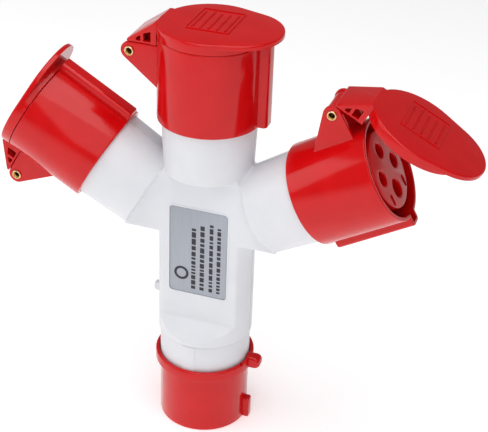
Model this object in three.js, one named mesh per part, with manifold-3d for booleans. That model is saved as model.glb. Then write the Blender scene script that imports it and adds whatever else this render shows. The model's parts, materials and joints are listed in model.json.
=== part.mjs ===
// Three-way splitter for a four-pole 16 A industrial supply: a plug at the foot of a white trunk,
// and three sockets with sprung lids on arms that fan out from a flat hub.
// Millimetres, +Z up. The origin is the middle of the plug's contact-carrier face, the trunk and the
// top arm lie on Z, all arms lie in the XZ plane, and the label faces -Y.

import * as THREE from "three";
import { mergeVertices } from "three/addons/utils/BufferGeometryUtils.js";
import Module from "manifold-3d";

const wasm = await Module();
wasm.setup();

// Clearances.
const gap = 0.3; // between pieces that touch
const rotaryGap = 0.4; // between pieces that turn past each other

// Contacts, shared by the plug and the sockets.
const contactCircleRadius = 12;
const phasePinRadius = 2.5;
const earthPinRadius = 3.5;
const sleeveWall = 1.2;
const sleeveRecess = 8; // from a socket carrier's face down to its sleeves
const pinLength = 37;

// Plug.
const shroudRadius = 27.5;
const shroudWall = 2.8;
const shroudLength = 41; // from the carrier face to the rim that the splitter stands on
const flangeRadius = 30.7;
const flangeLow = -1.5;
const flangeHigh = 5;
const cupFloor = 1;
const keyRibReach = 31;
const keyRibWidth = 6;
const keyRibLength = 13.8;
const lugReach = 37.2;
const lugWidth = 8;
const lugLow = -3;
const lugHigh = 6;
const neckRadius = shroudRadius + 0.6;
const plugCarrierHeight = 10;
const pinTerminalRadius = 4;
const pinTerminalTop = 20;

// White housing.
const wall = 2.6;
const trunkRadius = neckRadius + 0.7;
const trunkLow = 22.3;
const rampLow = 25.5; // the trunk is round below this height
const rampSlope = 0.652; // rise per unit of depth where the round trunk runs into the flat
const halfDepth = 15.5; // from the parting plane to the flat front and back
const hubHeight = 91.2; // where the three arm axes cross
const hubUndersideRise = 0.3; // the underside is this far above the arms' crossing
const hubUnderside = hubHeight + hubUndersideRise;
const hubEdgeRound = 2.5;
const armAngle = 60;
const armStart = 41; // along an arm, where the round arm steps out of the flat hub
const armStartRadius = 26.4;
const armEndRadius = 27.7;
const parting = 0.3;
const spigotHeight = 8;
const spigotWall = 2.6;
const labelWidth = 35.7;
const labelHeight = 58;
const labelDrop = 9.4; // from the arms' crossing down to the label's middle
const labelMiddle = hubHeight - labelDrop;
const labelThickness = 0.5;
const hangLugReach = 34.5;
const hangLugHeight = 5.5;
const hangLugRise = 18.7; // above the trunk's foot
const hangLugMiddle = trunkLow + hangLugRise;
const hangLugDepth = 4;
const screwShankRadius = 1.5;
const screwHeadRadius = 3.2;
const screwHeadHeight = 1.9;
const bossRadius = 4.3;
const screwOffset = 18.2; // of the four lower screws, from the middle
const trunkScrewRise = 22.7; // above the trunk's foot
const hubScrewDrop = 11.2; // below the arms' crossing
const crotchScrewDistance = 36; // from the arms' crossing, halfway between two arms

// Sockets: Z of a socket's own frame runs out along its arm from the arms' crossing.
const socketStart = 73.5;
const socketLength = 50;
const shroudClearance = 0.6; // round a plug's shroud
const boreRadius = shroudRadius + shroudClearance;
const socketWall = 2.3;
const socketRadius = boreRadius + socketWall;
const neckOverlap = 4.2; // how far the arm runs into the socket's skirt
const webThickness = 2.5;
const carrierClearance = 2.1; // inside a plug's shroud
const carrierRadius = shroudRadius - shroudWall - carrierClearance;
const carrierRecess = 1.5;
const carrierFlange = 2.3;
const keywayClearance = 2.9; // round a plug's key rib
const keywayWall = 1.7;
const keywayReach = keyRibReach + keywayClearance + keywayWall;
const keywayWidth = keyRibWidth + 4.4;
const keywayFoot = 0.5; // the keyway's cover stops this far above the socket's lower edge
const keywayCorner = 2.5;

// Hinge and lid.
const hingeReach = 44; // from the arm's axis
const hingeBelowRim = 11.9;
const earRadius = 5.3;
const earWall = 2.5;
const earOuter = 13; // half of the width over both ears
const earFootBelowRim = 32.5;
const rivetRadius = 1.9;
const rivetBore = 1.1;
const rivetHeadRadius = 2.8;
const rivetHeadHeight = 0.7;
const barrelRadius = 4.6;
const barrelInner = 4.5;
const springRadius = 4.4;
const lidHeight = 6.7;
const lidPlate = 3.7;
const lidSkirt = 1.2;
const lidTabReach = 41.2;
const lidTipRadius = 26;
const lidArmWall = 2;
const lidArmSlopeStart = 29.5;
const lidArmTail = 45.5;
const lidArmTailHeight = 7;
const gasketWidth = 4.5;
const gasketHeight = 2.7;

// Conductors.
const conductorRadius = 1.6;
const spliceRadius = 2.7;
const terminalGap = 1.3; // from a conductor's end to its terminal, which leaves room for its slant

// Facets.
const roundFacets = 28;
const smallFacets = 10;
const wireFacets = 6;
const cornerFacets = 3; // in each quarter of a rounded outline corner

// Values worked out from those above.
const socketEnd = socketStart + socketLength;
const carrierFace = socketEnd - carrierRecess;
const grooveFloor = carrierFace - shroudLength - gap;
const webLow = grooveFloor - webThickness;
const armEnd = Math.min(socketStart + neckOverlap, webLow - gap);
const skirtRadius = armEndRadius + gap;
const lidLow = socketEnd + gap;
const lidTop = lidLow + lidHeight;
const pivotX = -hingeReach;
const pivotZ = socketEnd - hingeBelowRim;
const earTop = pivotZ + earRadius;
const earInner = earOuter - earWall;
const terminalLow = webLow - carrierFlange - gap - 6;
const up = new THREE.Vector3(0, 0, 1);

// The four contacts: angle round the axis, pin radius, and the depth at which its conductor crosses
// the hub. Earth is on the keyway's side.
const contacts = [
  { name: "L1", angle: -90, radius: phasePinRadius, hubDepth: -9.4 },
  { name: "L2", angle: 180, radius: phasePinRadius, hubDepth: -3.2 },
  { name: "L3", angle: 90, radius: phasePinRadius, hubDepth: 9.4 },
  { name: "earth", angle: 0, radius: earthPinRadius, hubDepth: 3.2 },
];

// The three arms: turn about Y from upright, and how far the lid stands open.
const arms = [
  { name: "left", turn: -armAngle, lidOpen: 0 },
  { name: "top", turn: 0, lidOpen: 0 },
  { name: "right", turn: armAngle, lidOpen: 33 },
];

// Materials.
const redPlastic = { color: 0xc4161c, roughness: 0.3, metalness: 0 };
const whitePlastic = { color: 0xe4e6ea, roughness: 0.4, metalness: 0 };
const labelFoil = { color: 0xaeb4bd, roughness: 0.45, metalness: 0.3 };
const nickelBrass = { color: 0xc9b98a, roughness: 0.3, metalness: 1 };
const rivetBrass = { color: 0xc8a04a, roughness: 0.3, metalness: 1 };
const zincSteel = { color: 0x9ba0a5, roughness: 0.35, metalness: 1 };
const blackRubber = { color: 0x222224, roughness: 0.8, metalness: 0 };
const wireColours = { L1: 0x5a3a22, L2: 0x18181a, L3: 0x7d8084, earth: 0x4f8f3a };

// Shape helpers.

// A closed geometry as a solid with its faces pointing out.
function toSolid(geometry) {
  const bare = geometry.index ? geometry.toNonIndexed() : geometry.clone();
  bare.deleteAttribute("normal");
  bare.deleteAttribute("uv");
  const merged = mergeVertices(bare, 1e-4);
  const corners = merged.index.array;
  const points = merged.attributes.position;
  const triangles = [];
  let volume = 0;
  const [a, b, c] = [0, 1, 2].map(() => new THREE.Vector3());
  for (let i = 0; i < corners.length; i += 3) {
    const [p, q, r] = [corners[i], corners[i + 1], corners[i + 2]];
    if (p === q || q === r || r === p) continue;
    triangles.push(p, q, r);
    a.fromBufferAttribute(points, p);
    b.fromBufferAttribute(points, q);
    c.fromBufferAttribute(points, r);
    volume += a.dot(b.cross(c));
  }
  if (volume < 0) triangles.reverse();
  const mesh = { numProp: 3, vertProperties: points.array, triVerts: new Uint32Array(triangles) };
  return new wasm.Manifold(new wasm.Mesh(mesh));
}

// A body of revolution about Z from a closed outline of [radius, height] corners.
function turned(outline, facets = roundFacets) {
  const points = outline.map(([radius, height]) => new THREE.Vector2(radius, height));
  if (outline[0][0] > 0) points.push(points[0].clone());
  return toSolid(new THREE.LatheGeometry(points, facets).rotateX(Math.PI / 2));
}

// A tube, or a disc when the inner radius is 0.
function ring(outer, inner, low, high, facets = roundFacets) {
  return turned([[inner, low], [outer, low], [outer, high], [inner, high]], facets);
}

function toShape(outline) {
  return outline instanceof THREE.Shape
    ? outline
    : new THREE.Shape(outline.map(([x, y]) => new THREE.Vector2(x, y)));
}

function extruded(outline, depth, curveSegments = cornerFacets) {
  return new THREE.ExtrudeGeometry(toShape(outline), { depth, bevelEnabled: false, curveSegments });
}

// A prism standing on the XY plane, between two heights.
function plate(outline, low, high) {
  return toSolid(extruded(outline, high - low).translate(0, 0, low));
}

// A prism whose outline lies in the XZ plane, between two depths along Y.
function slab(outline, front, back) {
  return toSolid(extruded(outline, back - front).rotateX(Math.PI / 2).translate(0, back, 0));
}

// A prism whose outline lies in the YZ plane, from -half to half along X.
function bar(outline, half) {
  const turn = new THREE.Matrix4().makeBasis(
    new THREE.Vector3(0, 1, 0), new THREE.Vector3(0, 0, 1), new THREE.Vector3(1, 0, 0));
  return toSolid(extruded(outline, 2 * half).applyMatrix4(turn).translate(-half, 0, 0));
}

function block(x0, x1, y0, y1, z0, z1) {
  const box = new THREE.BoxGeometry(x1 - x0, y1 - y0, z1 - z0);
  return toSolid(box.translate((x0 + x1) / 2, (y0 + y1) / 2, (z0 + z1) / 2));
}

// A cylinder along Y.
function crossPin(radius, x, z, y0, y1, facets = smallFacets) {
  const body = new THREE.CylinderGeometry(radius, radius, y1 - y0, facets);
  return toSolid(body.translate(x, (y0 + y1) / 2, z));
}

function roundedRectangle(x0, x1, y0, y1, radius) {
  const shape = new THREE.Shape();
  shape.absarc(x1 - radius, y0 + radius, radius, -Math.PI / 2, 0);
  shape.absarc(x1 - radius, y1 - radius, radius, 0, Math.PI / 2);
  shape.absarc(x0 + radius, y1 - radius, radius, Math.PI / 2, Math.PI);
  shape.absarc(x0 + radius, y0 + radius, radius, Math.PI, 1.5 * Math.PI);
  return shape;
}

function joined(solids) {
  return solids.reduce((sum, solid) => sum.add(solid));
}

function cut(solid, tools) {
  return tools.reduce((rest, tool) => rest.subtract(tool), solid);
}

// A solid moved by a group's own placement.
function placed(solid, turnAboutY, lift) {
  const angle = THREE.MathUtils.degToRad(turnAboutY);
  const matrix = new THREE.Matrix4().makeRotationY(angle).setPosition(0, 0, lift);
  return solid.transform(matrix.toArray());
}

function addPiece(group, name, solid, finish) {
  const { vertProperties, triVerts } = solid.getMesh();
  const geometry = new THREE.BufferGeometry()
    .setAttribute("position", new THREE.BufferAttribute(vertProperties, 3))
    .setIndex(new THREE.BufferAttribute(triVerts, 1));
  geometry.computeVertexNormals();
  const mesh = new THREE.Mesh(geometry, new THREE.MeshStandardMaterial(finish));
  mesh.name = name;
  group.add(mesh);
}

function contactPlace({ angle }) {
  const turn = THREE.MathUtils.degToRad(angle);
  return [contactCircleRadius * Math.cos(turn), contactCircleRadius * Math.sin(turn)];
}

// White housing.

// The two cutters that make the flat front and back of the trunk, or of the space inside it, with
// the ramps by which the flats run out into the round collar.
function flatCutters(inset) {
  const depth = halfDepth - inset;
  const low = rampLow - inset * Math.hypot(1, rampSlope);
  const rampHeight = (y) => low + (trunkRadius - y) * rampSlope;
  const far = trunkRadius + 10;
  const high = hubHeight + armStart;
  const back = [[depth, rampHeight(depth)], [far, rampHeight(far)], [far, high], [depth, high]];
  const front = back.map(([y, z]) => [-y, z]).reverse();
  return [front, back].map((outline) => bar(outline, trunkRadius + 1));
}

// The flat hub's outline: level underside, ends square to the side arms, level top. It runs
// a distance along each arm, and its free edges are set in.
function hubOutline(along, inset) {
  const turn = THREE.MathUtils.degToRad(armAngle);
  // The space inside stays within what the round arms leave open where they meet the flats.
  const flatDepth = halfDepth - inset;
  const side = inset < wall ? armStartRadius - inset : Math.sqrt((armStartRadius - inset) ** 2 - flatDepth ** 2);
  const low = hubUnderside + inset;
  const cornerAt = (across) => [
    along * Math.sin(turn) + across * Math.cos(turn),
    hubHeight + along * Math.cos(turn) - across * Math.sin(turn),
  ];
  const lower = cornerAt((hubHeight + along * Math.cos(turn) - low) / Math.sin(turn));
  const upper = cornerAt(-side);
  const right = [lower, upper, [Math.min(upper[0], side), hubHeight + along]];
  return [...right, ...right.map(([x, z]) => [-x, z]).reverse()];
}

// The hub's edges are rounded towards its flats: a thin middle plate of full size, and thicker
// plates that step in along a quarter round.
function hubBody(inset) {
  const steps = 2;
  const along = armStart + gap + inset;
  const layers = [];
  for (let i = 0; i <= steps; i += 1) {
    const angle = (i / steps) * (Math.PI / 2);
    const depth = halfDepth - inset - hubEdgeRound * (1 - Math.sin(angle));
    const shrink = inset + hubEdgeRound * (1 - Math.cos(angle));
    layers.push(slab(hubOutline(along, shrink), -depth, depth));
  }
  return joined(layers);
}

// The whole outside (inset 0) or inside (inset wall) of the housing, before it is parted.
function housingBody(inset) {
  const trunkTop = hubUnderside + halfDepth; // well inside the hub
  const trunk = ring(trunkRadius - inset, 0, trunkLow - (inset ? 1 : 0), trunkTop);
  const end = armEnd + (inset ? 1 : 0);
  const start = armStart + inset;
  const neck = turned([
    [0, start], [armStartRadius - inset, start], [armEndRadius - inset, socketStart],
    [armEndRadius - inset, end], [0, end],
  ]);
  const necks = arms.map(({ turn }) => placed(neck, turn, hubHeight));
  return joined([cut(trunk, flatCutters(inset)), hubBody(inset), ...necks]);
}

function screwPlaces() {
  const halfway = THREE.MathUtils.degToRad(armAngle / 2);
  const x = crotchScrewDistance * Math.sin(halfway);
  const z = hubHeight + crotchScrewDistance * Math.cos(halfway);
  const lower = [trunkLow + trunkScrewRise, hubHeight - hubScrewDrop].map((height) => [screwOffset, height]);
  return [...lower, [x, z]].flatMap(([sx, sz]) => [[-sx, sz], [sx, sz]]);
}

function makeHousing(group) {
  const outside = housingBody(0);
  const bosses = screwPlaces().map(([x, z]) => crossPin(bossRadius, x, z, -halfDepth + 1, halfDepth - 1));
  const hollow = outside.subtract(housingBody(wall));
  const body = joined([hollow, ...bosses]);
  const far = 200;
  const half = parting / 2;
  const shankHole = screwShankRadius + gap;
  const headFloor = halfDepth - screwHeadHeight - 2 * gap;
  const shankEnd = -halfDepth + wall + 2;
  const holes = screwPlaces().map(([x, z]) => crossPin(shankHole, x, z, shankEnd - gap, halfDepth + 1));
  const sinks = screwPlaces().map(([x, z]) =>
    crossPin(screwHeadRadius + gap, x, z, headFloor, halfDepth + 1));
  const pocketHalf = labelWidth / 2 + gap;
  const pocketTall = labelHeight / 2 + gap;
  const pocket = slab(
    roundedRectangle(-pocketHalf, pocketHalf, labelMiddle - pocketTall, labelMiddle + pocketTall, 2.3),
    -halfDepth - 1, -halfDepth + labelThickness + gap);
  const front = cut(body, [block(-far, far, -half, far, -far, 2 * far), ...holes, pocket]);
  const lug = block(-hangLugReach, -trunkRadius + wall / 2, half, half + hangLugDepth,
    hangLugMiddle - hangLugHeight / 2, hangLugMiddle + hangLugHeight / 2);
  const back = cut(joined([body, lug]), [block(-far, far, -far, half, -far, 2 * far), ...holes, ...sinks]);
  addPiece(group, "front_shell", front, whitePlastic);
  addPiece(group, "back_shell", back, whitePlastic);

  const label = slab(
    roundedRectangle(-labelWidth / 2, labelWidth / 2, labelMiddle - labelHeight / 2,
      labelMiddle + labelHeight / 2, 2),
    -halfDepth, -halfDepth + labelThickness);
  addPiece(group, "label_plate", label, labelFoil);

  screwPlaces().forEach(([x, z], i) => {
    const headBottom = headFloor + gap;
    const shank = crossPin(screwShankRadius, x, z, shankEnd, headBottom + 0.5, wireFacets);
    const head = crossPin(screwHeadRadius, x, z, headBottom, headBottom + screwHeadHeight);
    addPiece(group, `housing_screw_${i + 1}`, shank.add(head), zincSteel);
  });
}

// Plug.

function makePlug(group) {
  const inner = shroudRadius - shroudWall;
  const cup = neckRadius + gap;
  const shroud = turned([
    [inner, -shroudLength], [shroudRadius, -shroudLength], [shroudRadius, flangeLow - 1],
    [flangeRadius, flangeLow], [flangeRadius, flangeHigh], [cup, flangeHigh], [cup, cupFloor],
    [inner, cupFloor],
  ]);
  const rib = block(inner + 1, keyRibReach, -keyRibWidth / 2, keyRibWidth / 2,
    -shroudLength, -shroudLength + keyRibLength);
  const lug = block(cup + 0.6, lugReach, -lugWidth / 2, lugWidth / 2, lugLow, lugHigh)
    .subtract(ring(cup, 0, cupFloor, lugHigh + 1));
  const lugRoot = block(shroudRadius - 1, cup + 1, -lugWidth / 2, lugWidth / 2, lugLow, flangeLow);
  addPiece(group, "plug_shroud", joined([shroud, rib, lug, lugRoot]), redPlastic);

  const neckLow = cupFloor + gap;
  const neckHigh = trunkLow - gap;
  const spigot = trunkRadius - wall - gap;
  const neckInner = spigot - spigotWall;
  const neck = turned([
    [neckInner, neckLow], [neckRadius, neckLow], [neckRadius, neckHigh], [spigot, neckHigh],
    [spigot, trunkLow + spigotHeight], [neckInner, trunkLow + spigotHeight],
  ]);
  addPiece(group, "plug_neck", cut(neck, flatCutters(wall + gap)), whitePlastic);

  const carrierOuter = Math.min(inner, neckInner) - gap;
  const disc = ring(carrierOuter, 0, 0, plugCarrierHeight);
  const wells = contacts.map((contact) => {
    const [x, y] = contactPlace(contact);
    return ring(contact.radius + gap, 0, -1, plugCarrierHeight + 1, smallFacets).translate([x, y, 0]);
  });
  addPiece(group, "plug_contact_carrier", cut(disc, wells), redPlastic);

  contacts.forEach((contact) => {
    const [x, y] = contactPlace(contact);
    const r = contact.radius;
    const low = plugCarrierHeight + gap;
    const pin = turned([
      [0, -pinLength], [r * 0.6, -pinLength], [r, -pinLength + r * 0.6], [r, low],
      [pinTerminalRadius, low], [pinTerminalRadius, pinTerminalTop], [0, pinTerminalTop],
    ], smallFacets);
    addPiece(group, `plug_pin_${contact.name}`, pin.translate([x, y, 0]), nickelBrass);
  });
}

// Sockets.

function socketTube() {
  const tube = turned([
    [skirtRadius, socketStart], [socketRadius, socketStart], [socketRadius, socketEnd],
    [boreRadius, socketEnd], [boreRadius, grooveFloor], [carrierRadius + gap, grooveFloor],
    [carrierRadius + gap, webLow], [skirtRadius, webLow],
  ]);
  const half = keywayWidth / 2;
  const cover = plate(
    roundedRectangle(boreRadius - 4, keywayReach, -half, half, keywayCorner),
    socketStart + keywayFoot, socketEnd,
  ).subtract(ring(boreRadius, 0, 0, socketEnd + 1));
  const channel = block(carrierRadius + 2, keywayReach - keywayWall, -half + keywayWall,
    half - keywayWall, grooveFloor, socketEnd + 1);
  return joined([tube, cover]).subtract(channel);
}

// An ear: a rounded end about the pivot, a level top edge and a sloping lower edge to the tube.
function earOutline() {
  const root = -Math.sqrt(((boreRadius + socketRadius) / 2) ** 2 - earInner ** 2) + 0.4;
  const foot = socketEnd - earFootBelowRim;
  const [dx, dz] = [root - pivotX, foot - pivotZ];
  const tangent = Math.atan2(dz, dx) - Math.acos(earRadius / Math.hypot(dx, dz));
  const shape = new THREE.Shape();
  shape.moveTo(root, foot);
  shape.lineTo(root, earTop);
  shape.absarc(pivotX, pivotZ, earRadius, Math.PI / 2, tangent + 2 * Math.PI);
  return shape;
}

function makeSocket(group, name) {
  const ears = [[-earOuter, -earInner], [earInner, earOuter]].map(([y0, y1]) =>
    slab(earOutline(), y0, y1));
  const hole = crossPin(rivetRadius + gap, pivotX, pivotZ, -earOuter - 1, earOuter + 1);
  addPiece(group, `${name}_socket_body`, joined([socketTube(), ...ears]).subtract(hole), redPlastic);

  const flangeLow = webLow - gap - carrierFlange;
  const carrier = turned([
    [0, flangeLow], [armEndRadius - wall - gap, flangeLow], [armEndRadius - wall - gap, webLow - gap],
    [carrierRadius, webLow - gap], [carrierRadius, carrierFace], [0, carrierFace],
  ]);
  const wells = contacts.map((contact) => {
    const [x, y] = contactPlace(contact);
    const radius = contact.radius + gap + sleeveWall + gap;
    return ring(radius, 0, flangeLow - 1, carrierFace + 1, smallFacets).translate([x, y, 0]);
  });
  addPiece(group, `${name}_contact_carrier`, cut(carrier, wells), redPlastic);

  contacts.forEach((contact) => {
    const [x, y] = contactPlace(contact);
    const bore = contact.radius + gap;
    const outer = bore + sleeveWall;
    const top = carrierFace - sleeveRecess;
    const floor = carrierFace - pinLength - gap;
    const sleeve = turned([
      [0, terminalLow], [outer, terminalLow], [outer, top], [bore, top], [bore, floor], [0, floor],
    ], smallFacets);
    addPiece(group, `${name}_contact_${contact.name}`, sleeve.translate([x, y, 0]), nickelBrass);
  });

  const headStart = earOuter + gap;
  const headEnd = headStart + rivetHeadHeight;
  const rivet = cut(joined([
    crossPin(rivetRadius, pivotX, pivotZ, -headEnd, headEnd),
    crossPin(rivetHeadRadius, pivotX, pivotZ, -headEnd, -headStart),
    crossPin(rivetHeadRadius, pivotX, pivotZ, headStart, headEnd),
  ]), [crossPin(rivetBore, pivotX, pivotZ, -headEnd - 1, headEnd + 1)]);
  addPiece(group, `${name}_hinge_rivet`, rivet, rivetBrass);

  const springHalf = barrelInner - gap;
  const spring = crossPin(springRadius, pivotX, pivotZ, -springHalf, springHalf)
    .subtract(crossPin(rivetRadius + rotaryGap, pivotX, pivotZ, -springHalf - 1, springHalf + 1));
  addPiece(group, `${name}_lid_spring`, spring, zincSteel);
}

// Lids, made closed in the socket's frame.

// A circle drawn out towards the keyway into a smaller one, joined by their tangents.
function lidOutline(inset) {
  const radius = socketRadius - inset;
  const tip = lidTipRadius - inset;
  const tipMiddle = lidTabReach - lidTipRadius;
  const lean = Math.acos((radius - tip) / tipMiddle);
  const arc = (x, r, from, to) => Array.from({ length: roundFacets / 2 + 1 }, (_, i) => {
    const angle = from + ((to - from) * i) / (roundFacets / 2);
    return [x + r * Math.cos(angle), r * Math.sin(angle)];
  });
  return [...arc(tipMiddle, tip, -lean, lean), ...arc(0, radius, lean, 2 * Math.PI - lean)];
}

function lidPlateBody() {
  const outer = extruded(lidOutline(0), lidTop - lidLow).translate(0, 0, lidLow);
  const inner = extruded(lidOutline(lidSkirt), lidHeight - lidPlate);
  return toSolid(outer).subtract(toSolid(inner.translate(0, 0, lidLow - 0.001)));
}

// The hinge arm: a wedge behind the lid, hollow below, with two windows in each cheek.
function lidArm() {
  const low = earTop + rotaryGap;
  const near = -(socketRadius + rotaryGap);
  const inside = -(socketRadius - lidSkirt - 2);
  const tail = -lidArmTail;
  const slope = -lidArmSlopeStart;
  const tailTop = pivotZ + lidArmTailHeight;
  const wedge = slab([
    [inside, lidTop], [slope, lidTop], [tail, tailTop], [tail, low], [near, low], [near, lidLow],
    [inside, lidLow],
  ].reverse(), -earOuter, earOuter);
  const rise = (lidTop - tailTop) / (slope - tail);
  const under = (x) => tailTop + (x - tail) * rise - lidArmWall * Math.hypot(1, rise);
  const hollowTail = tail + lidArmWall + 0.6;
  const hollow = slab([
    [near, low - 1], [near, Math.min(under(near), lidTop - lidArmWall)],
    [hollowTail, Math.max(under(hollowTail), low + 0.1)], [hollowTail, low - 1],
  ].reverse(), -earOuter + lidArmWall, earOuter - lidArmWall);
  const pocket = ring(socketRadius - lidSkirt, 0, lidLow - 1, lidLow + lidHeight - lidPlate);
  const windows = [[near - 0.8, near - 3.4], [near - 6.3, near - 8.5]].map(([x0, x1]) =>
    slab([[x0, low + 1.7], [x0, under(x0)], [x1, under(x1)], [x1, low + 1.7]].reverse(),
      -earOuter - 1, earOuter + 1));
  return cut(wedge, [hollow, pocket, ...windows]);
}

function lidBarrels() {
  const outer = earInner - rotaryGap;
  const webTop = earTop + rotaryGap + 1;
  const sides = [[-outer, -barrelInner], [barrelInner, outer]].map(([y0, y1]) => joined([
    crossPin(barrelRadius, pivotX, pivotZ, y0, y1),
    block(-lidArmTail, -lidArmTail + barrelRadius + 1.5, y0, y1, pivotZ, webTop),
  ]));
  const bore = crossPin(rivetRadius + rotaryGap, pivotX, pivotZ, -outer - 1, outer + 1);
  return joined(sides).subtract(bore);
}

function makeLid(group, name, lidOpen) {
  const hinge = new THREE.Group();
  hinge.position.set(pivotX, 0, pivotZ);
  hinge.rotation.y = THREE.MathUtils.degToRad(-lidOpen);
  group.add(hinge);
  const toHinge = [-pivotX, 0, -pivotZ];
  const lid = joined([lidPlateBody(), lidArm(), lidBarrels()]);
  addPiece(hinge, `${name}_lid`, lid.translate(toHinge), redPlastic);
  const outer = socketRadius - lidSkirt - gap;
  const gasket = ring(outer, outer - gasketWidth, lidLow, lidLow + gasketHeight);
  addPiece(hinge, `${name}_lid_gasket`, gasket.translate(toHinge), blackRubber);
}

// Conductors inside the housing.

// One insulated wire along a smooth curve through its points.
function wire(points) {
  const section = new THREE.Shape();
  section.absarc(0, 0, conductorRadius, 0, 2 * Math.PI);
  const steps = 3 * (points.length - 1);
  const path = new THREE.CatmullRomCurve3(points);
  const options = { steps, extrudePath: path, bevelEnabled: false, curveSegments: wireFacets / 2 };
  return toSolid(new THREE.ExtrudeGeometry(section, options));
}

// From a pin's terminal up to a splice in the hub, and on to the same contact of each socket.
function makeConductor(group, contact) {
  const [x, y] = contactPlace(contact);
  const depth = contact.hubDepth;
  const start = pinTerminalTop + terminalGap;
  const end = terminalLow - terminalGap;
  const splice = new THREE.Vector3(0, depth, hubHeight);
  const stem = [
    new THREE.Vector3(x, y, start), new THREE.Vector3(x, y, start + 5),
    new THREE.Vector3(x, depth, start + 22), splice,
  ];
  const wires = arms.map(({ turn }) => {
    const angle = THREE.MathUtils.degToRad(turn);
    const along = (px, py, pz) => new THREE.Vector3(px, py, pz)
      .applyAxisAngle(new THREE.Vector3(0, 1, 0), angle).addScaledVector(up, hubHeight);
    const branch = [along(x * 0.6, depth, armStart), along(x, y, end - 4), along(x, y, end)];
    return wire(turn === 0 ? [...stem, ...branch] : [splice, ...branch]);
  });
  const sleeve = toSolid(new THREE.SphereGeometry(spliceRadius, smallFacets, wireFacets)
    .translate(...splice.toArray()));
  const finish = { color: wireColours[contact.name], roughness: 0.5, metalness: 0 };
  addPiece(group, `conductor_${contact.name}`, joined([sleeve, ...wires]), finish);
}

// Assembly.

const splitter = new THREE.Group();
const housing = new THREE.Group();
splitter.add(housing);
makeHousing(housing);
const plug = new THREE.Group();
splitter.add(plug);
makePlug(plug);
for (const { name, turn, lidOpen } of arms) {
  const arm = new THREE.Group();
  arm.position.set(0, 0, hubHeight);
  arm.rotation.y = THREE.MathUtils.degToRad(turn);
  splitter.add(arm);
  makeSocket(arm, name);
  makeLid(arm, name, lidOpen);
}
contacts.forEach((contact) => makeConductor(housing, contact));

export default splitter;
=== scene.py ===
import json
import math
import random

import bpy
from mathutils import Matrix, Vector

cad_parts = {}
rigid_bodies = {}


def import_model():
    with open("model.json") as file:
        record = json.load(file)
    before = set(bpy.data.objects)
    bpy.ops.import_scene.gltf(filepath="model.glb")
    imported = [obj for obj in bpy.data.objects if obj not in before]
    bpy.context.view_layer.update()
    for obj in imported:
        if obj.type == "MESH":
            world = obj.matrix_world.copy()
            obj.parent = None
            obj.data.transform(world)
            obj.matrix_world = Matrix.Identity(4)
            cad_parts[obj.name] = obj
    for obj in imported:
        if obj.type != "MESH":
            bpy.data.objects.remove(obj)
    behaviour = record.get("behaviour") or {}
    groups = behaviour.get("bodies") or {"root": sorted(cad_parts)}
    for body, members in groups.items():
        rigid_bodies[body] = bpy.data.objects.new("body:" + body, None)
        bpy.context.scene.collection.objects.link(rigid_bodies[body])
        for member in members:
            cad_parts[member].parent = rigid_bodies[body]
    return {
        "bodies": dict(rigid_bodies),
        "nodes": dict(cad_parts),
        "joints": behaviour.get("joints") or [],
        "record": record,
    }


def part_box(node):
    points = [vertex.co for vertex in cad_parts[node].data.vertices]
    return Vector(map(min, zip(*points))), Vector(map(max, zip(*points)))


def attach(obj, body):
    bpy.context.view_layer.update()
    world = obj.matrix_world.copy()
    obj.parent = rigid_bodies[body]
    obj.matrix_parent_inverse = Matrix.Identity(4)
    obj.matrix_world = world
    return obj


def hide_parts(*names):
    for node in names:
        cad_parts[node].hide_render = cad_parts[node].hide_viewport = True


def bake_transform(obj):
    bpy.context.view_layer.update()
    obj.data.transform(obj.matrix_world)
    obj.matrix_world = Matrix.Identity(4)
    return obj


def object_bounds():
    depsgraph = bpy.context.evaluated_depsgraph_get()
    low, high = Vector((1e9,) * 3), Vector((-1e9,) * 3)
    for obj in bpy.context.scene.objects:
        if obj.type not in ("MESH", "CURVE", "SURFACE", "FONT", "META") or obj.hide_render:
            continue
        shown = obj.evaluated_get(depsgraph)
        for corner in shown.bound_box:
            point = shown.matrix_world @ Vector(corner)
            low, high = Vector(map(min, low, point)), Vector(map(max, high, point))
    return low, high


mm = 0.001

# the CAD model

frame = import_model()
cadLow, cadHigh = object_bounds()
record = frame["record"]
mounts = {mount["name"]: mount for mount in record["mounts"]}
joints = {joint["name"]: joint for joint in record["behaviour"]["joints"]}
print("frame loaded:", len(frame["nodes"]), "nodes")


def nodeBox(node):
    low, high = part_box(node)
    return Vector(low) / mm, Vector(high) / mm


# each arm has its own upright frame, with its origin where the three arm axes cross
leftFace = mounts["left_socket_face"]
alongLeft = leftFace["pos_m"][0] / leftFace["axis"][0]
crossing = (leftFace["pos_m"][2] - leftFace["axis"][2] * alongLeft) / mm
armNames = ("left", "top", "right")
armPlace = {}
lidPlace = {}
carrierFace = (Vector(mounts["top_socket_face"]["pos_m"]) / mm).z - crossing
topPivot = Vector(joints["top_lid_hinge"]["pos_m"]) / mm - Vector((0, 0, crossing))
for armName in armNames:
    axis = mounts[armName + "_socket_face"]["axis"]
    turn = math.atan2(axis[0], axis[2])
    place = Matrix.Translation((0, 0, crossing * mm)) @ Matrix.Rotation(turn, 4, "Y")
    opened = -joints[armName + "_lid_hinge"]["range_deg"][0]
    swing = Matrix.Rotation(math.radians(-opened), 4, "Y")
    pivot = Matrix.Translation(topPivot * mm)
    armPlace[armName] = place
    lidPlace[armName] = place @ pivot @ swing @ pivot.inverted()

# camera, stage and lights

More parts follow.
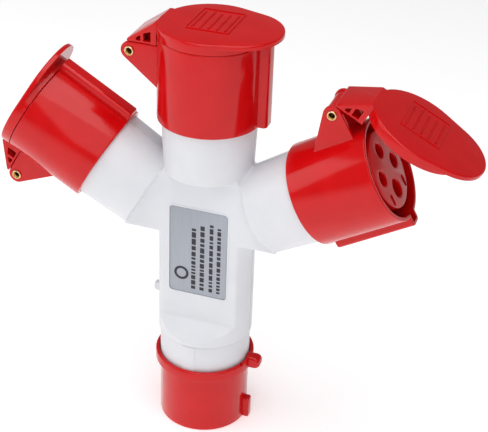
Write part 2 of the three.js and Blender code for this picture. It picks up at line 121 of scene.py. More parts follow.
cameraSettings = {
    "azimuth": 18.04,
    "elevation": 30.2,
    "roll": 2.11,
    "distance": 809.0,
    "lens": 101.52,
    "aim": (22.6, 0, 103.8),
}
lightSettings = {
    "front box": {"azimuth": 18, "elevation": 33, "away": 1500, "size": (1150, 1150), "power": 5.0},
    "side box": {"azimuth": -72, "elevation": 24, "away": 1400, "size": (1300, 800), "power": 5.2},
    "top box": {"azimuth": 18, "elevation": 80, "away": 1300, "size": (1200, 1200), "power": 11},
    "world": 0.22,
    "floor": "#FBFBFC",
    "floorGlow": 0.38,
}


def srgb(code):
    def toLinear(value):
        return value / 12.92 if value <= 0.04045 else ((value + 0.055) / 1.055) ** 2.4

    parts = [int(code[i:i + 2], 16) / 255 for i in (1, 3, 5)]
    return (*[toLinear(part) for part in parts], 1.0)


def addNode(tree, kind, values=None, links=None, **settings):
    node = tree.nodes.new(kind)
    for name, value in settings.items():
        setattr(node, name, value)
    for socket, value in (values or {}).items():
        node.inputs[socket].default_value = value
    for socket, source in (links or {}).items():
        tree.links.new(source, node.inputs[socket])
    return node


def towards(azimuth, elevation):
    a, e = math.radians(azimuth), math.radians(elevation)
    return Vector((math.sin(a) * math.cos(e), -math.cos(a) * math.cos(e), math.sin(e)))


def setCamera(settings):
    back = towards(settings["azimuth"], settings["elevation"])
    right = towards(settings["azimuth"] + 90, 0)
    up = back.cross(right)
    roll = math.radians(settings["roll"])
    across = right * math.cos(roll) + up * math.sin(roll)
    upward = up * math.cos(roll) - right * math.sin(roll)
    data = bpy.data.cameras.new("camera")
    data.lens = settings["lens"]
    data.sensor_width = 36
    data.clip_start, data.clip_end = 0.02, 20
    camera = bpy.data.objects.new("camera", data)
    bpy.context.scene.collection.objects.link(camera)
    turn = Matrix((across, upward, back)).transposed().to_4x4()
    place = (Vector(settings["aim"]) + back * settings["distance"]) * mm
    camera.matrix_world = Matrix.Translation(place) @ turn
    bpy.context.scene.camera = camera


def setLights(settings):
    for name in ("front box", "side box", "top box"):
        light = settings[name]
        data = bpy.data.lights.new(name, "AREA")
        data.shape = "RECTANGLE"
        data.size, data.size_y = (side * mm for side in light["size"])
        data.energy = light["power"]
        lamp = bpy.data.objects.new(name, data)
        away = towards(light["azimuth"], light["elevation"])
        lamp.location = (Vector(cameraSettings["aim"]) + away * light["away"]) * mm
        lamp.rotation_euler = (-away).to_track_quat("-Z", "Y").to_euler()
        bpy.context.scene.collection.objects.link(lamp)
    world = bpy.data.worlds.new("studio")
    world.use_nodes = True
    world.node_tree.nodes["Background"].inputs["Color"].default_value = (1, 1, 1, 1)
    world.node_tree.nodes["Background"].inputs["Strength"].default_value = settings["world"]
    bpy.context.scene.world = world
    bpy.context.scene.view_settings.view_transform = "Standard"


def setFloor(settings):
    bpy.ops.mesh.primitive_plane_add(size=14, location=(0, 0, cadLow[2] - 0.0002))
    floor = bpy.context.object
    floor.name = "floor"
    material = bpy.data.materials.new("white sweep paper")
    material.use_nodes = True
    shader = material.node_tree.nodes["Principled BSDF"]
    shader.inputs["Base Color"].default_value = srgb(settings["floor"])
    shader.inputs["Roughness"].default_value = 0.7
    shader.inputs["Emission Color"].default_value = (1, 1, 1, 1)
    shader.inputs["Emission Strength"].default_value = settings["floorGlow"]
    floor.data.materials.append(material)


def deselectAll():
    if bpy.context.object and bpy.context.object.mode != "OBJECT":
        bpy.ops.object.mode_set(mode="OBJECT")
    bpy.ops.object.select_all(action="DESELECT")


deselectAll()
setCamera(cameraSettings)
setLights(lightSettings)
setFloor(lightSettings)
print("camera, lights and floor set")

# materials


def newMaterial(name, base, roughness, metallic=0.0, ior=None):
    material = bpy.data.materials.new(name)
    material.use_nodes = True
    tree = material.node_tree
    shader = tree.nodes["Principled BSDF"]
    shader.inputs["Base Color"].default_value = srgb(base)
    shader.inputs["Roughness"].default_value = roughness
    shader.inputs["Metallic"].default_value = metallic
    if ior:
        shader.inputs["IOR"].default_value = ior
    place = addNode(tree, "ShaderNodeTexCoord").outputs["Object"]
    return material, tree, shader, place


def noiseAt(tree, place, size, detail=2.0):
    # size is the width of one blotch or grain in millimetres
    values = {"Scale": 1 / (size * mm), "Detail": detail}
    return addNode(tree, "ShaderNodeTexNoise", values, {"Vector": place}).outputs["Fac"]


def between(tree, factor, low, high, fromLow=0.3, fromHigh=0.7):
    values = {"From Min": fromLow, "From Max": fromHigh, "To Min": low, "To Max": high}
    return addNode(tree, "ShaderNodeMapRange", values, {"Value": factor}).outputs["Result"]


def tintBetween(tree, factor, first, second):
    mix = addNode(tree, "ShaderNodeMix", links={"Factor": factor}, data_type="RGBA")
    mix.inputs["A"].default_value = srgb(first)
    mix.inputs["B"].default_value = srgb(second)
    return mix.outputs["Result"]


# polyamide moulded in a polished tool: deep even red, broad soft highlights, a faint orange peel
redPlastic = {
    "base": "#CC080C",
    "thin": "#D30B0F",
    "roughness": (0.13, 0.18),
    "specular": 0.35,
    "peel": 1.6,
    "peelHeight": 0.05,
    "smudge": 14,
}


def makeRedPlastic(settings):
    material, tree, shader, place = newMaterial("red moulded polyamide", settings["base"], 0.3, ior=1.5)
    shader.inputs["Specular IOR Level"].default_value = settings["specular"]
    smudge = noiseAt(tree, place, settings["smudge"], 3)
    tree.links.new(tintBetween(tree, between(tree, smudge, 0, 1), settings["base"], settings["thin"]),
                   shader.inputs["Base Color"])
    tree.links.new(between(tree, smudge, *settings["roughness"]), shader.inputs["Roughness"])
    peel = noiseAt(tree, place, settings["peel"], 1)
    bump = addNode(tree, "ShaderNodeBump", {"Strength": 0.2, "Distance": settings["peelHeight"] * mm},
                   {"Height": peel})
    tree.links.new(bump.outputs["Normal"], shader.inputs["Normal"])
    return material


# white ABS from a lightly textured tool: satin, slightly cool, hardly any grain
whitePlastic = {
    "base": "#E6E7EB",
    "shade": "#E0E2E7",
    "roughness": (0.36, 0.46),
    "cloud": 22,
    "grain": 0.9,
    "grainHeight": 0.04,
}


def makeWhitePlastic(settings):
    material, tree, shader, place = newMaterial("white moulded ABS", settings["base"], 0.4, ior=1.53)
    cloud = noiseAt(tree, place, settings["cloud"], 3)
    tree.links.new(tintBetween(tree, between(tree, cloud, 0, 1), settings["base"], settings["shade"]),
                   shader.inputs["Base Color"])
    tree.links.new(between(tree, cloud, *settings["roughness"]), shader.inputs["Roughness"])
    grain = noiseAt(tree, place, settings["grain"], 2)
    bump = addNode(tree, "ShaderNodeBump", {"Strength": 0.25, "Distance": settings["grainHeight"] * mm},
                   {"Height": grain})
    tree.links.new(bump.outputs["Normal"], shader.inputs["Normal"])
    return material


# polyester label with a brushed silver print: fine lines along its length, a soft grey sheen
labelFoil = {"base": "#A2A7B0", "light": "#ADB1BA", "lineWidth": 0.35}


def makeLabelFoil(settings):
    material, tree, shader, place = newMaterial("silver polyester label", settings["base"], 0.42, 0.35)
    stretched = addNode(tree, "ShaderNodeMapping", {"Scale": (1, 1, 0.02)}, {"Vector": place})
    lines = noiseAt(tree, stretched.outputs["Vector"], settings["lineWidth"], 2)
    tree.links.new(tintBetween(tree, between(tree, lines, 0, 1), settings["base"], settings["light"]),
                   shader.inputs["Base Color"])
    tree.links.new(between(tree, lines, 0.36, 0.5), shader.inputs["Roughness"])
    return material


def makePrintInk():
    material, tree, shader, place = newMaterial("dark printing ink", "#2E2C33", 0.55)
    tree.links.new(between(tree, noiseAt(tree, place, 0.5), 0.5, 0.65), shader.inputs["Roughness"])
    return material


# metals: plated, rolled or drawn, so the tone is patchy and the roughness wanders a little
metals = {
    "pin": {"name": "nickel plated brass", "base": "#CFC7B2", "dark": "#B9AF98", "roughness": (0.18, 0.3)},
    "rivet": {"name": "rolled brass tube", "base": "#F0DAAE", "dark": "#D9B671", "roughness": (0.2, 0.34)},
    "screw": {"name": "zinc plated steel", "base": "#B4B7BA", "dark": "#8F9296", "roughness": (0.28, 0.42)},
    "spring": {
        "name": "drawn spring steel",
        "base": "#8B8E92",
        "dark": "#6E7175",
        "roughness": (0.25, 0.4),
    },
}
metalBlotch = 2.5  # width of a tarnished patch
metalMarks = 0.8  # width of a rubbed spot


def makeMetal(settings):
    material, tree, shader, place = newMaterial(settings["name"], settings["base"], 0.3, 1.0)
    blotch = between(tree, noiseAt(tree, place, metalBlotch, 4), 0, 1)
    tint = tintBetween(tree, blotch, settings["base"], settings["dark"])
    tree.links.new(tint, shader.inputs["Base Color"])
    marks = noiseAt(tree, place, metalMarks, 3)
    tree.links.new(between(tree, marks, *settings["roughness"]), shader.inputs["Roughness"])
    return material


# EPDM rubber, moulded: matt black with a dusty bloom
rubberSettings = {
    "base": "#19191B",
    "tints": ("#161618", "#2A2A2C"),
    "bloom": 3,
    "grain": 0.6,
    "grainHeight": 0.05,
}


def makeRubber(settings):
    material, tree, shader, place = newMaterial("black EPDM rubber", settings["base"], 0.75)
    bloom = noiseAt(tree, place, settings["bloom"], 4)
    tint = tintBetween(tree, between(tree, bloom, 0, 1), *settings["tints"])
    tree.links.new(tint, shader.inputs["Base Color"])
    tree.links.new(between(tree, bloom, 0.65, 0.85), shader.inputs["Roughness"])
    bump = addNode(tree, "ShaderNodeBump", {"Strength": 0.3, "Distance": settings["grainHeight"] * mm},
                   {"Height": noiseAt(tree, place, settings["grain"], 3)})
    tree.links.new(bump.outputs["Normal"], shader.inputs["Normal"])
    return material


# PVC wire insulation, one colour for each pole
wireColours = {"L1": "#5B3A22", "L2": "#1B1B1D", "L3": "#7F8387", "earth": "#5E9A36"}


def makeWire(pole, colour):
    material, tree, shader, place = newMaterial("PVC insulation " + pole, colour, 0.45)
    tree.links.new(between(tree, noiseAt(tree, place, 4, 2), 0.38, 0.52), shader.inputs["Roughness"])
    return material


red = makeRedPlastic(redPlastic)
white = makeWhitePlastic(whitePlastic)
foil = makeLabelFoil(labelFoil)
ink = makePrintInk()
metal = {name: makeMetal(settings) for name, settings in metals.items()}
rubber = makeRubber(rubberSettings)
print("materials made")

# modelling helpers; all measures are millimetres


def roundCorners(corners, steps=5):
    # corners are (x, y) or (x, y, radius); each radius becomes an arc that meets both sides
    points = []
    for i, corner in enumerate(corners):
        here = Vector(corner[:2])
        radius = corner[2] if len(corner) > 2 else 0
        if not radius:
            points.append(tuple(here))
            continue
        before = Vector(corners[i - 1][:2]) - here
        after = Vector(corners[(i + 1) % len(corners)][:2]) - here
        half = before.angle(after) / 2
        reach = radius / math.tan(half)
        middle = here + (before.normalized() + after.normalized()).normalized() * radius / math.sin(half)
        first = here + before.normalized() * reach - middle
        last = here + after.normalized() * reach - middle
        start = math.atan2(first.y, first.x)
        sweep = (math.atan2(last.y, last.x) - start + math.pi) % (2 * math.pi) - math.pi
        for step in range(steps + 1):
            angle = start + sweep * step / steps
            points.append((middle.x + radius * math.cos(angle), middle.y + radius * math.sin(angle)))
    return points


def roundBox(left, right, low, high, radius, steps=6):
    corners = ((right, low), (right, high), (left, high), (left, low))
    return roundCorners([(x, y, radius) for x, y in corners], steps)


def arcPoints(x, y, radius, start, end, steps):
    angles = [math.radians(start + (end - start) * i / steps) for i in range(steps + 1)]
    return [(x + radius * math.cos(angle), y + radius * math.sin(angle)) for angle in angles]


def pick(piece):
    deselectAll()
    piece.select_set(True)
    bpy.context.view_layer.objects.active = piece
    return piece


def outlineLoop(name, points, filled):
    # a circle with one corner for each point, and the corners moved to the points
    deselectAll()
    fill = "NGON" if filled else "NOTHING"
    bpy.ops.mesh.primitive_circle_add(vertices=len(points), radius=mm, fill_type=fill)
    piece = bpy.context.object
    piece.name = name
    for corner, point in zip(piece.data.vertices, points):
        corner.co = Vector(point) * mm
    return piece


def tidyFaces(piece, merge=0.001):
    pick(piece)
    bpy.ops.object.mode_set(mode="EDIT")
    bpy.ops.mesh.select_all(action="SELECT")
    bpy.ops.mesh.remove_doubles(threshold=merge * mm)
    bpy.ops.mesh.delete_loose()
    bpy.ops.mesh.select_all(action="SELECT")
    bpy.ops.mesh.normals_make_consistent(inside=False)
    bpy.ops.object.mode_set(mode="OBJECT")
    return piece


def lathe(name, profile, sides=128, solid=False):
    # a profile of (radius, height) is spun about Z; a solid's profile starts and ends on the axis
    piece = outlineLoop(name, [(radius, 0, height) for radius, height in profile], False)
    if solid:
        selectEdges(piece, lambda a, b: a.x < 0.0005 and b.x < 0.0005)
        bpy.ops.mesh.delete(type="EDGE")
    bpy.ops.object.mode_set(mode="EDIT")
    bpy.ops.mesh.select_all(action="SELECT")
    bpy.ops.mesh.spin(steps=sides, angle=2 * math.pi, center=(0, 0, 0), axis=(0, 0, 1))
    bpy.ops.object.mode_set(mode="OBJECT")
    return tidyFaces(piece)


def rod(name, radius, low, high, sides=192):
    return lathe(name, [(0, low), (radius, low), (radius, high), (0, high)], sides, True)


def selectEdges(piece, test):
    # selects the edges whose two ends, in millimetres, pass the test, and stays in edit mode
    pick(piece)
    bpy.context.tool_settings.mesh_select_mode = (False, True, False)
    bpy.ops.object.mode_set(mode="EDIT")
    bpy.ops.mesh.select_all(action="DESELECT")
    bpy.ops.object.mode_set(mode="OBJECT")
    ends = [vertex.co / mm for vertex in piece.data.vertices]
    for edge in piece.data.edges:
        edge.select = test(ends[edge.vertices[0]], ends[edge.vertices[1]])
    bpy.ops.object.mode_set(mode="EDIT")


def bevelEdges(piece, test, offset, steps=3):
    selectEdges(piece, test)
    bpy.ops.mesh.bevel(offset=offset * mm, segments=steps, affect="EDGES", clamp_overlap=True)
    bpy.ops.object.mode_set(mode="OBJECT")
    return piece


def setPlace(piece, matrix):
    pick(piece)
    piece.matrix_world = matrix
    bpy.ops.object.transform_apply(location=True, rotation=True, scale=True)
    return piece


# which way a prism stands: its outline's two directions, then the direction of its length
standing = {
    "XY": Matrix.Identity(4),
    "XZ": Matrix(((1, 0, 0, 0), (0, 0, -1, 0), (0, 1, 0, 0), (0, 0, 0, 1))),
    "YZ": Matrix(((0, 0, 1, 0), (1, 0, 0, 0), (0, 1, 0, 0), (0, 0, 0, 1))),
}


def prism(name, outline, low, high, plane="XY", lowEdge=0.0, highEdge=0.0, steps=4):
    # an outline drawn out from low to high, with its end faces' edges rounded
    if plane == "XZ":
        low, high, lowEdge, highEdge = -high, -low, highEdge, lowEdge
    piece = outlineLoop(name, [(x, y, low) for x, y in outline], True)
    pick(piece)
    bpy.ops.object.mode_set(mode="EDIT")
    bpy.ops.mesh.select_all(action="SELECT")
    bpy.ops.mesh.extrude_region_move(TRANSFORM_OT_translate={"value": (0, 0, (high - low) * mm)})
    bpy.ops.object.mode_set(mode="OBJECT")
    near = 0.001
    if highEdge:
        bevelEdges(piece, lambda a, b: min(a.z, b.z) > high - near, highEdge, steps)
    if lowEdge:
        bevelEdges(piece, lambda a, b: max(a.z, b.z) < low + near, lowEdge, steps)
    tidyFaces(piece)
    return setPlace(piece, standing[plane])


def roundBlock(name, low, high, edge=0.0, steps=3):
    deselectAll()
    size = Vector(high) - Vector(low)
    bpy.ops.mesh.primitive_cube_add(size=1, location=(Vector(low) + Vector(high)) / 2 * mm)
    piece = bpy.context.object
    piece.name = name
    piece.scale = size * mm
    bpy.ops.object.transform_apply(location=True, rotation=True, scale=True)
    if edge:
        bevelEdges(piece, lambda a, b: True, edge, steps)
    return piece


def ontoY(x, z):
    # places a lathe's axis along Y, its foot towards the front
    return Matrix.Translation((x * mm, 0, z * mm)) @ Matrix.Rotation(-math.pi / 2, 4, "X")


def crossRod(name, radius, x, z, front, back, sides=64):
    return setPlace(rod(name, radius, front, back, sides), ontoY(x, z))


def finishWith(piece, kind, **settings):
    modifier = piece.modifiers.new(kind.lower(), kind)
    for name, value in settings.items():
        setattr(modifier, name, value)
    pick(piece)
    bpy.ops.object.modifier_apply(modifier=modifier.name)
    return piece


def combine(piece, tool, how, solver="MANIFOLD"):
    finishWith(piece, "BOOLEAN", operation=how, solver=solver, object=tool)
    if not piece.data.polygons:
        raise RuntimeError(piece.name + " was lost when it met " + tool.name)
    bpy.data.objects.remove(tool, do_unlink=True)


def addTo(piece, *tools):
    for tool in tools:
        combine(piece, tool, "UNION")
    return piece


def takeFrom(piece, *tools):
    for tool in tools:
        combine(piece, tool, "DIFFERENCE")
    return piece


def joinAll(pieces):
    for piece in pieces:
        piece.select_set(True)
    bpy.context.view_layer.objects.active = pieces[0]
    bpy.ops.object.join()
    return bpy.context.object


def smoothShade(piece, angle=32):
    pick(piece)
    bpy.ops.object.shade_smooth_by_angle(angle=math.radians(angle))
    return piece


def copyOf(piece, name, place=None):
    twin = piece.copy()
    twin.data = piece.data.copy()
    twin.name = name
    bpy.context.scene.collection.objects.link(twin)
    return setPlace(twin, place) if place else twin


def install(piece, body, slotName, material, *nodes):
    piece.data.materials.clear()
    piece.data.materials.append(material)
    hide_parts(*nodes)
    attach(piece, body)


def installOnArms(pattern, part, body, slotName, material, places, angle=32):
    # one pattern is shaped in the arms' own frame, and each arm gets a copy
    smoothShade(pattern, angle)
    for name in armNames:
        twin = copyOf(pattern, name + "_" + part + "_fine", places[name])
        install(twin, body.format(name), slotName, material, name + "_" + part)
    bpy.data.objects.remove(pattern, do_unlink=True)


# contacts, shared by the plug and the sockets

contacts = {"L1": (-90, 2.5), "L2": (180, 2.5), "L3": (90, 2.5), "earth": (0, 3.5)}
contactCircle = 12


def contactPlace(pole):
    angle = math.radians(contacts[pole][0])
    return Matrix.Translation(Vector((math.cos(angle), math.sin(angle), 0)) * contactCircle * mm)


# white housing

housing = {
    "wall": 2.5,
    "rampLow": 25.5,
    "rampSlope": 0.652,
    "hubUnderside": 91.5,
    "hubEdge": 2.5,
    "armStart": 41,
    "armStartRadius": 26.4,
    "armEndRadius": 27.7,
    "armEnd": 77.7,
    "fillet": 0.75,
    "bossRadius": 4.3,
    "seam": 0.3,
    "seamGroove": 0.9,
    "seamDepth": 0.5,
    "screwHead": 1.9,
}
label = {"frame": 1.1, "frameHeight": 0.35, "frameRound": 0.45, "gap": 0.3, "corner": 2.0, "depth": 0.8}
hangLug = {"reach": 34.5, "root": 27, "middle": 41, "height": 5.5, "depth": 4, "corner": 1.6, "edge": 0.5}
backLow, backHigh = nodeBox("back_shell")
labelLow, labelHigh = nodeBox("label_plate")
trunkRadius = backHigh.y
trunkLow = backLow.z
halfDepth = -labelLow.y


def flatCutters(inset):
    # the trunk's flat front and back, and the ramps by which they run out into the round foot
    depth = halfDepth - inset
    low = housing["rampLow"] - inset * math.hypot(1, housing["rampSlope"])
    far, high = trunkRadius + 10, crossing + 60
    heights = {y: low + (trunkRadius - y) * housing["rampSlope"] for y in (depth, far)}
    outline = [(depth, heights[depth]), (far, heights[far]), (far, high), (depth, high)]
    return [prism("flat", [(y * side, z) for y, z in outline], -40, 40, "YZ") for side in (-1, 1)]


def hubOutline(along, inset):
    # level underside, ends square to the side arms, level top
    turn = math.radians(60)
    side = housing["armStartRadius"] - inset
    if inset:  # inside, the hub is no wider than the arms' bores
        side = math.sqrt(side ** 2 - (halfDepth - inset) ** 2)
    low = housing["hubUnderside"] + inset

    def corner(across):
        x = along * math.sin(turn) + across * math.cos(turn)
        return x, crossing + along * math.cos(turn) - across * math.sin(turn)

    lower = corner((crossing + along * math.cos(turn) - low) / math.sin(turn))
    upper = corner(-side)
    right = [lower, upper, (min(upper[0], side), crossing + along)]
    return right + [(-x, z) for x, z in reversed(right)]


def housingBody(inset):
    trunkTop = housing["hubUnderside"] + halfDepth
    low = trunkLow - (1 if inset else 0)
    radius = trunkRadius - inset
    body = rod("housing", radius, low, trunkTop)
    takeFrom(body, *flatCutters(inset))
    depth = halfDepth - inset
    along = housing["armStart"] + 0.3 + inset
    edge = 0 if inset else housing["hubEdge"]
    addTo(body, prism("hub", hubOutline(along, inset), -depth, depth, "XZ", edge, edge, 6))
    start, end = housing["armStart"] + inset, housing["armEnd"] + (1 if inset else 0)
    first, last = housing["armStartRadius"] - inset, housing["armEndRadius"] - inset
    arm = lathe("arm", [(0, start), (first, start), (last, 73.5), (last, end), (0, end)], 192, True)
    for name in armNames:
        addTo(body, copyOf(arm, "arm_" + name, armPlace[name]))
    bpy.data.objects.remove(arm, do_unlink=True)
    return body


def makeHousing():
    outside = housingBody(0)
    finishWith(outside, "REMESH", mode="VOXEL", voxel_size=housing["fillet"] * mm)
    finishWith(outside, "SMOOTH", factor=0.5, iterations=6)
    slim = copyOf(outside, "slim")
    selectEdges(slim, lambda a, b: True)
    bpy.ops.mesh.select_all(action="SELECT")
    bpy.ops.transform.shrink_fatten(value=-housing["seamDepth"] * mm)
    bpy.ops.object.mode_set(mode="OBJECT")
    groove = housing["seamGroove"] / 2
    seamTool = roundBlock("seam", (-200, -groove, -100), (200, groove, 300))
    takeFrom(seamTool, slim)
    takeFrom(outside, housingBody(housing["wall"]))
    takeFrom(outside, seamTool)
    print("housing shell hollowed")
    screws = [nodeBox(f"housing_screw_{i}") for i in range(1, 7)]
    screwPlaces = [((low.x + high.x) / 2, (low.z + high.z) / 2) for low, high in screws]
    headRadius = (screws[0][1].x - screws[0][0].x) / 2
    headFloor = screws[0][1].y - housing["screwHead"] - 0.3
    for x, z in screwPlaces:
        addTo(outside, crossRod("boss", housing["bossRadius"], x, z, -halfDepth + 1.2, halfDepth - 1.2, 48))
        takeFrom(outside, crossRod("hole", 1.8, x, z, -halfDepth + 4, halfDepth + 1, 32))
    half = housing["seam"] / 2
    front = copyOf(outside, "front_shell_fine")
    takeFrom(front, roundBlock("rest", (-200, -half, -100), (200, 100, 300)))
    back = outside
    back.name = "back_shell_fine"
    takeFrom(back, roundBlock("rest", (-200, -100, -100), (200, half, 300)))
    for x, z in screwPlaces:
        well = headRadius + 0.3
        profile = [(0, headFloor), (well, headFloor), (well, halfDepth - 0.5), (well + 1, halfDepth + 0.5),
                   (0, halfDepth + 0.5)]
        takeFrom(back, setPlace(lathe("well", profile, 48, True), ontoY(x, z)))
    foot, top = (hangLug["middle"] + side * hangLug["height"] / 2 for side in (-1, 1))
    outline = roundBox(-hangLug["reach"], -hangLug["root"], foot, top, hangLug["corner"])
    edge = hangLug["edge"]
    addTo(back, prism("lug", outline, half, half + hangLug["depth"], "XZ", edge, edge))
    frameOut = label["gap"] + label["frame"]
    sides = (labelLow.x, labelHigh.x, labelLow.z, labelHigh.z)

    def grown(by):
        return roundBox(sides[0] - by, sides[1] + by, sides[2] - by, sides[3] + by, label["corner"] + by)

    proud = -halfDepth - label["frameHeight"]
    addTo(front, prism("raised", grown(frameOut), proud, -halfDepth + 1, "XZ", label["frameRound"], 0))
    takeFrom(front, prism("pocket", grown(label["gap"]), -halfDepth - 2, -halfDepth + label["depth"], "XZ"))
    for shell, node in ((front, "front_shell"), (back, "back_shell")):
        smoothShade(shell, 38)
        install(shell, "housing", "white_housing_plastic", white, node)
    return screwPlaces, headFloor


screwPlaces, screwFloor = makeHousing()
print("housing made")

# label

# generic upright bars stand where the label's print is: (distance from the left edge, foot, top, width)
printBars = {
    "bars": (
        (15.0, 3.2, 45.5, 2.7),
        (20.4, 3.2, 47.5, 2.7),
        (26.0, 3.2, 49.5, 2.3),
        (30.8, 3.2, 48.0, 2.3),
    ),
    "barLength": (1.2, 4.2),
    "barGap": (0.7, 1.1),
    "mark": (7.4, 13.0, 3.0, 1.6),
    "thickness": 0.05,
    "seed": 7,
}


def makeLabel():
    low, high = labelLow, labelHigh
    plate = prism("label_plate_fine", roundBox(low.x, high.x, low.z, high.z, label["corner"]),
                  low.y, high.y, "XZ", 0.12, 0, 2)
    smoothShade(plate)
    install(plate, "housing", "label_foil", foil, "label_plate")
    random.seed(printBars["seed"])
    front = low.y - printBars["thickness"]
    strokes = []
    for across, foot, top, width in printBars["bars"]:
        z = foot
        while z < top:
            length = min(random.uniform(*printBars["barLength"]), top - z + 0.3)
            strokes.append((across - width / 2, across + width / 2, z, z + length))
            z += length + random.uniform(*printBars["barGap"])
    pieces = []
    for left, right, foot, top in strokes:
        outline = roundBox(low.x + left, low.x + right, low.z + foot, low.z + top, 0.3, 2)
        pieces.append(prism("stroke", outline, front, low.y - 0.002, "XZ"))
    across, height, radius, width = printBars["mark"]
    ringProfile = [(radius, 0), (radius + width, 0), (radius + width, 0.05), (radius, 0.05)]
    lift = Matrix.Translation((0, front * mm, 0))
    pieces.append(setPlace(lathe("mark", ringProfile, 48), lift @ ontoY(low.x + across, low.z + height)))
    printed = joinAll(pieces)
    printed.name = "label_print"
    printed.data.materials.clear()
    printed.data.materials.append(ink)
    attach(printed, "housing")


makeLabel()
print("label made")

# housing screws

screw = {
    "head": 3.2,
    "headHeight": 1.9,
    "shank": 1.5,
    "crown": 0.7,
    "cross": 0.55,
    "crossReach": 1.7,
    "crossDepth": 1.1,
    "twist": 37,  # each screw stops at another angle
}


def makeScrews():
    top = screw["headHeight"]
    length = nodeBox("housing_screw_1")
    foot = length[0].y - (length[1].y - top)
    profile = [(0, foot), (screw["shank"] * 0.6, foot), (screw["shank"], foot + 0.8), (screw["shank"], 0),
               (screw["head"], 0), (screw["head"], top - screw["crown"] - 0.3)]
    crownFoot = top - screw["crown"] - 0.3
    for i in range(1, 6):
        angle = math.pi / 2 * i / 6
        profile.append((screw["head"] * math.cos(angle), crownFoot + (top - crownFoot) * math.sin(angle)))
    master = lathe("screw", profile + [(0, top)], 48, True)
    reach, half = screw["crossReach"], screw["cross"] / 2
    for lengths in ((reach, half), (half, reach)):
        takeFrom(master, roundBlock("slot", (-lengths[0], -lengths[1], top - screw["crossDepth"]),
                                    (lengths[0], lengths[1], top + 1)))
    smoothShade(master, 40)
    for i, (x, z) in enumerate(screwPlaces, 1):
        lift = Matrix.Translation((0, (length[1].y - top) * mm, 0))
        twist = Matrix.Rotation(math.radians(screw["twist"] * i), 4, "Z")
        twin = copyOf(master, f"housing_screw_{i}_fine", lift @ ontoY(x, z) @ twist)
        install(twin, "housing", "zinc_plated_steel", metal["screw"], f"housing_screw_{i}")
    bpy.data.objects.remove(master, do_unlink=True)


makeScrews()
print("screws made")

# plug

plug = {
    "shroudRadius": 27.5,
    "shroudWall": 2.8,
    "flangeLow": -1.5,
    "flangeHigh": 5.0,
    "cupFloor": 1.0,
    "neckRadius": 28.1,
    "ribWidth": 6.0,
    "ribLength": 13.8,
    "ribReach": 31.0,
    "lugWidth": 8.0,
    "lugLow": -2.2,
    "lugHigh": 6.0,
    "neckStep": 0.35,
    "tongue": (-4.9, 3.1),
    "spigotWall": 2.6,
    "spigotHeight": 8.0,
    "lugRoot": 27.0,
    "lugCorner": 3.6,
    "lugEdge": 2.2,
    "notchAngle": -22,
    "notchHalf": 0.8,
    "notchDepth": 1.4,
    "carrierHeight": 10,
}


